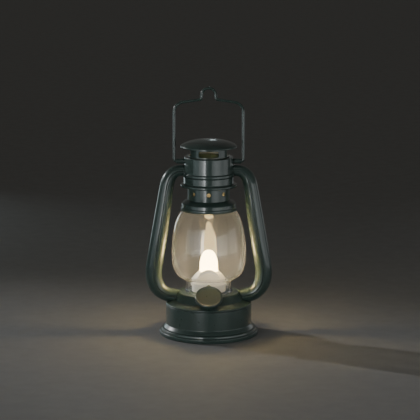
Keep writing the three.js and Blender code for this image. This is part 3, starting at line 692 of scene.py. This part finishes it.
def cap():
    dome = [tuple(p) for p in catmull([(0, 237), (10, 236.6), (19, 235.2), (26.5, 233.1), (31.2, 231)], 5)]
    profile = dome + [tuple(p) for p in rounded([
        (31.2, 231), (33.9, 229.1, 1.2), (34.0, 227.5, 0.7), (32.7, 227.1, 0.5), (31.2, 228.3, 0.6),
        (26, 229.6, 0.4), (22.5, 229.6), (22.5, 226.6, 0.3), (21, 226.6, 0.3), (21, 232), (12, 234.4),
        (0, 235.3)], closed=False)[1:]]
    place(lathe("cap_dome", profile, 192), "cap")


crown()
neck()
chimney()
vent_ring()
cap()

# ------------------------------------------------------------------------------------------------
# Ears and bail

EAR_RADIUS = 3.1
EAR_BORE = 2.1
WIRE = 1.75
BAIL_HALF = 41.2
BAIL_SHOULDER = 279.8
LOOP_HALF = 8.35
LOOP_Z = 289.8
LOOP_RISE = 8.1


def ears():
    for side_name, side in (("left", -1), ("right", 1)):
        ends = (side * 25.6, 0, EAR_Z), (side * 38.6, 0, EAR_Z)
        ear = rod(f"ear_{side_name}_sleeve", *ends, EAR_RADIUS, 64, bevel=0.4)
        cut(ear, rod("bore", (side * 24, 0, EAR_Z), (side * 42, 0, EAR_Z), EAR_BORE, 48))
        place(ear, f"ear_{side_name}")


def bail():
    right = rounded([
        (27.4, EAR_Z), (BAIL_HALF, EAR_Z, 2.4), (BAIL_HALF, BAIL_SHOULDER, 12), (9, 284.55, 2),
        (LOOP_HALF, LOOP_Z)], closed=False)
    for k in range(1, 10):
        a = math.pi / 2 * k / 9
        right.append(Vector((LOOP_HALF * math.cos(a), LOOP_Z + LOOP_RISE * math.sin(a))))
    line = right + [Vector((-p.x, p.y)) for p in reversed(right[:-1])]
    stations = []
    for i, p in enumerate(line):
        into = (p - line[i - 1]).normalized() if i else Vector((0, 0))
        away = (line[i + 1] - p).normalized() if i < len(line) - 1 else Vector((0, 0))
        along = (into + away).normalized()
        stations.append((p, Vector((along.y, -along.x)), WIRE))
    outline = [(2 * math.pi * k / 20, 0.0) for k in range(20)]
    place(swept("bail_wire", stations, outline), "bail", "bail")


ears()
bail()

# ------------------------------------------------------------------------------------------------
# Floor and lights

def floor():
    half = 14
    corners = [(-half, -half, 0), (half, -half, 0), (half, half, 0), (-half, half, 0)]
    piece = make("floor", corners, [[0, 1, 2, 3]])
    look = surface("floor_paper", (0.238, 0.238, 0.235), (0.258, 0.258, 0.254), (0.75, 0.85), 220, 0.00008)
    piece.data.materials.append(look)


LANTERN_MIDDLE = 0.15


def softbox(name, width, height, radiance, colour, beam):
    """Rectangular area light, as bright seen head on whatever its beam angle (under 180 degrees)."""
    data = bpy.data.lights.new(name, "AREA")
    data.shape = "RECTANGLE"
    data.size = width
    data.size_y = height
    data.spread = math.radians(beam)
    half = data.spread / 2
    data.energy = radiance * width * height * (1 - half / math.tan(half))
    data.color = colour
    lamp = bpy.data.objects.new(name, data)
    lamp.visible_camera = False
    bpy.context.scene.collection.objects.link(lamp)
    return lamp


def panel(name, left, right, low, high, radiance, colour=(1, 1, 1), distance=0.8, beam=95):
    """Upright softbox facing the lantern. left and right are the azimuths of its edges, with 0 at the
    lantern's front (-Y) and counting towards +X. low and high are its heights above the floor."""
    middle = math.radians((left + right) / 2)
    width = 2 * distance * math.tan(math.radians((right - left) / 2))
    lamp = softbox(name, width, high - low, radiance, colour, beam)
    lamp.location = (math.sin(middle) * distance, -math.cos(middle) * distance, (low + high) / 2)
    lamp.rotation_euler = (math.pi / 2, 0, middle)


def hung(name, azimuth, elevation, distance, width, height, radiance, colour=(1, 1, 1), beam=60):
    """Softbox hung above the floor and aimed at the middle of the lamp."""
    a, e = math.radians(azimuth), math.radians(elevation)
    aim = Vector((0, 0, LANTERN_MIDDLE))
    lamp = softbox(name, width, height, radiance, colour, beam)
    away = Vector((math.sin(a) * math.cos(e), -math.cos(a) * math.cos(e), math.sin(e)))
    lamp.location = aim + away * distance
    lamp.rotation_euler = (lamp.location - aim).to_track_quat("Z", "Y").to_euler()


def key(azimuth, elevation, distance, aim, power, colour):
    """Snooted lamp whose soft-edged pool lies round and in front of the lantern."""
    data = bpy.data.lights.new("key", "SPOT")
    data.spot_size = math.radians(17)
    data.spot_blend = 1.0
    data.shadow_soft_size = 0.05
    data.energy = power
    data.color = colour
    lamp = bpy.data.objects.new("key", data)
    a, e = math.radians(azimuth), math.radians(elevation)
    away = Vector((math.sin(a) * math.cos(e), -math.cos(a) * math.cos(e), math.sin(e)))
    lamp.location = away * distance
    lamp.rotation_euler = (lamp.location - Vector(aim)).to_track_quat("Z", "Y").to_euler()
    lamp.visible_camera = False
    bpy.context.scene.collection.objects.link(lamp)


DAYLIGHT = (0.82, 0.97, 1)
NEUTRAL = (0.95, 0.99, 1)

floor()
panel("strip", -23, -14, 0.02, 0.36, 30.0, NEUTRAL, beam=60)
panel("strip_edge", -32, -23, 0.02, 0.34, 10.0, NEUTRAL, beam=60)
panel("left_near", -45, -32, 0.03, 0.32, 5.2, NEUTRAL, beam=80)
panel("left_far", -75, -45, 0.0, 0.28, 3.0, DAYLIGHT)
panel("right_near", 14, 62, 0.0, 0.23, 6.4, NEUTRAL, beam=80)
panel("right_far", 62, 100, 0.0, 0.26, 3.2, NEUTRAL)
panel("rim_left", -158, -135, 0.0, 0.25, 5.0, DAYLIGHT, distance=1.1)
panel("rim_right", 118, 150, 0.0, 0.25, 1.6, NEUTRAL, distance=1.1)
hung("top", 8, 57, 1.1, 0.30, 0.10, 4.0, NEUTRAL)
hung("back", 178.8, 17, 1.3, 0.04, 0.06, 16.0, DAYLIGHT)
key(-122, 20, 3.2, (0.42, -0.46, 0), 190.0, (0.97, 0.98, 1))

world = bpy.data.worlds.new("studio")
bpy.context.scene.world = world
world.use_nodes = True
world.node_tree.nodes["Background"].inputs["Color"].default_value = (1, 0.98, 0.92, 1)
world.node_tree.nodes["Background"].inputs["Strength"].default_value = 0.088
